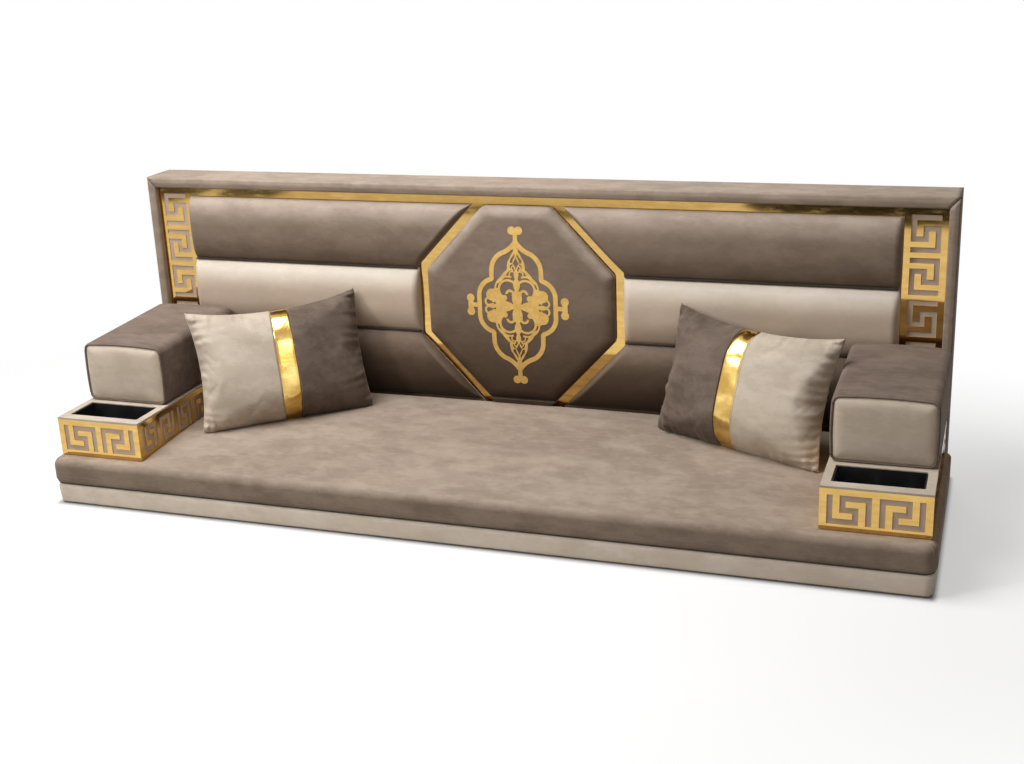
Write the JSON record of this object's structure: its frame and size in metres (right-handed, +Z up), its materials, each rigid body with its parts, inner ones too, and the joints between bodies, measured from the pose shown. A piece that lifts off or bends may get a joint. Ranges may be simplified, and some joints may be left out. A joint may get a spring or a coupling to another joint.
{
  "type": "majlis floor sofa",
  "caption": "Low majlis floor sofa in taupe velvet with gold Greek key sheets, a medallion back, arm boxes with lift-out trays, loose bolsters and pillows",
  "frame": {"origin": "The middle of the sofa's footprint, on the floor.", "axes": "X runs along the seat to the sitter's left as seen from the front of the sofa, so +X is the right-hand end in the picture; Y runs from the front of the seat to the back; Z is up."},
  "size_m": [2.226, 0.701, 0.757],
  "materials": {
    "taupe_velvet": "velvet",
    "beige_velvet": "velvet",
    "gold_mirror": "mirror polish",
    "gold_foil": "satin",
    "gold_fabric": "satin",
    "black_tray": "satin",
    "timber": "sawn",
    "plywood": "sanded",
    "foam": "foam",
    "dark_cloth": "woven",
    "dark_plastic": "moulded",
    "steel": "zinc plated"
  },
  "bodies": {
    "sofa": {"base_long_rails": "timber", "base_cross_members": "timber", "seat_deck": "plywood", "base_cover": "beige_velvet", "base_dust_cloth": "dark_cloth", "floor_glides": "dark_plastic", "seat_foam": "foam", "seat_cover": "taupe_velvet", "back_long_rails": "timber", "back_posts": "timber", "back_board": "plywood", "back_rear_cover": "dark_cloth", "back_lining": "beige_velvet", "back_bolts": "steel", "border_top": "taupe_velvet", "border_left": "taupe_velvet", "border_right": "taupe_velvet", "gold_fret_left": "gold_mirror", "gold_fret_right": "gold_mirror", "gold_top_strip": "gold_mirror", "octagon_trim_left": "gold_mirror", "octagon_trim_right": "gold_mirror", "pad_octagon": "taupe_velvet", "pad_boards": "plywood", "medallion": "gold_foil", "arm_blocks": "timber", "pad_top_left": "taupe_velvet", "pad_top_right": "taupe_velvet", "pad_middle_left": "beige_velvet", "pad_middle_right": "beige_velvet", "pad_lower_left": "taupe_velvet", "pad_lower_right": "taupe_velvet", "arm_left_side_walls": "beige_velvet", "arm_left_cross_walls": "beige_velvet", "arm_left_floor": "plywood", "arm_left_rim": "beige_velvet", "arm_left_fret_front": "gold_mirror", "arm_left_fret_sides": "gold_mirror", "arm_right_side_walls": "beige_velvet", "arm_right_cross_walls": "beige_velvet", "arm_right_floor": "plywood", "arm_right_rim": "beige_velvet", "arm_right_fret_front": "gold_mirror", "arm_right_fret_sides": "gold_mirror"},
    "pillow_left": {"pillow_left_beige_part": "beige_velvet", "pillow_left_gold_band": "gold_fabric", "pillow_left_taupe_part": "taupe_velvet"},
    "pillow_right": {"pillow_right_beige_part": "beige_velvet", "pillow_right_gold_band": "gold_fabric", "pillow_right_taupe_part": "taupe_velvet"},
    "bolster_left": {"bolster_left_cover": "taupe_velvet", "bolster_left_foam": "foam", "bolster_left_end_panel": "beige_velvet", "bolster_left_piping": "taupe_velvet"},
    "bolster_right": {"bolster_right_cover": "taupe_velvet", "bolster_right_foam": "foam", "bolster_right_end_panel": "beige_velvet", "bolster_right_piping": "taupe_velvet"},
    "tray_left": {"tray_left": "black_tray"},
    "tray_right": {"tray_right": "black_tray"}
  },
  "joints": [
    {"name": "pillow_left_lift", "type": "slide", "parent": "sofa", "child": "pillow_left", "axis": [0, 0, 1], "range_m": [0, 0.65]},
    {"name": "pillow_right_lift", "type": "slide", "parent": "sofa", "child": "pillow_right", "axis": [0, 0, 1], "range_m": [0, 0.65]},
    {"name": "bolster_left_lift", "type": "slide", "parent": "sofa", "child": "bolster_left", "axis": [-0.1483, 0, 0.9889], "range_m": [0, 0.56]},
    {"name": "bolster_right_lift", "type": "slide", "parent": "sofa", "child": "bolster_right", "axis": [0.1483, 0, 0.9889], "range_m": [0, 0.56]},
    {"name": "tray_left_lift", "type": "slide", "parent": "sofa", "child": "tray_left", "axis": [0, 0, 1], "range_m": [0, 0.2]},
    {"name": "tray_right_lift", "type": "slide", "parent": "sofa", "child": "tray_right", "axis": [0, 0, 1], "range_m": [0, 0.2]}
  ]
}
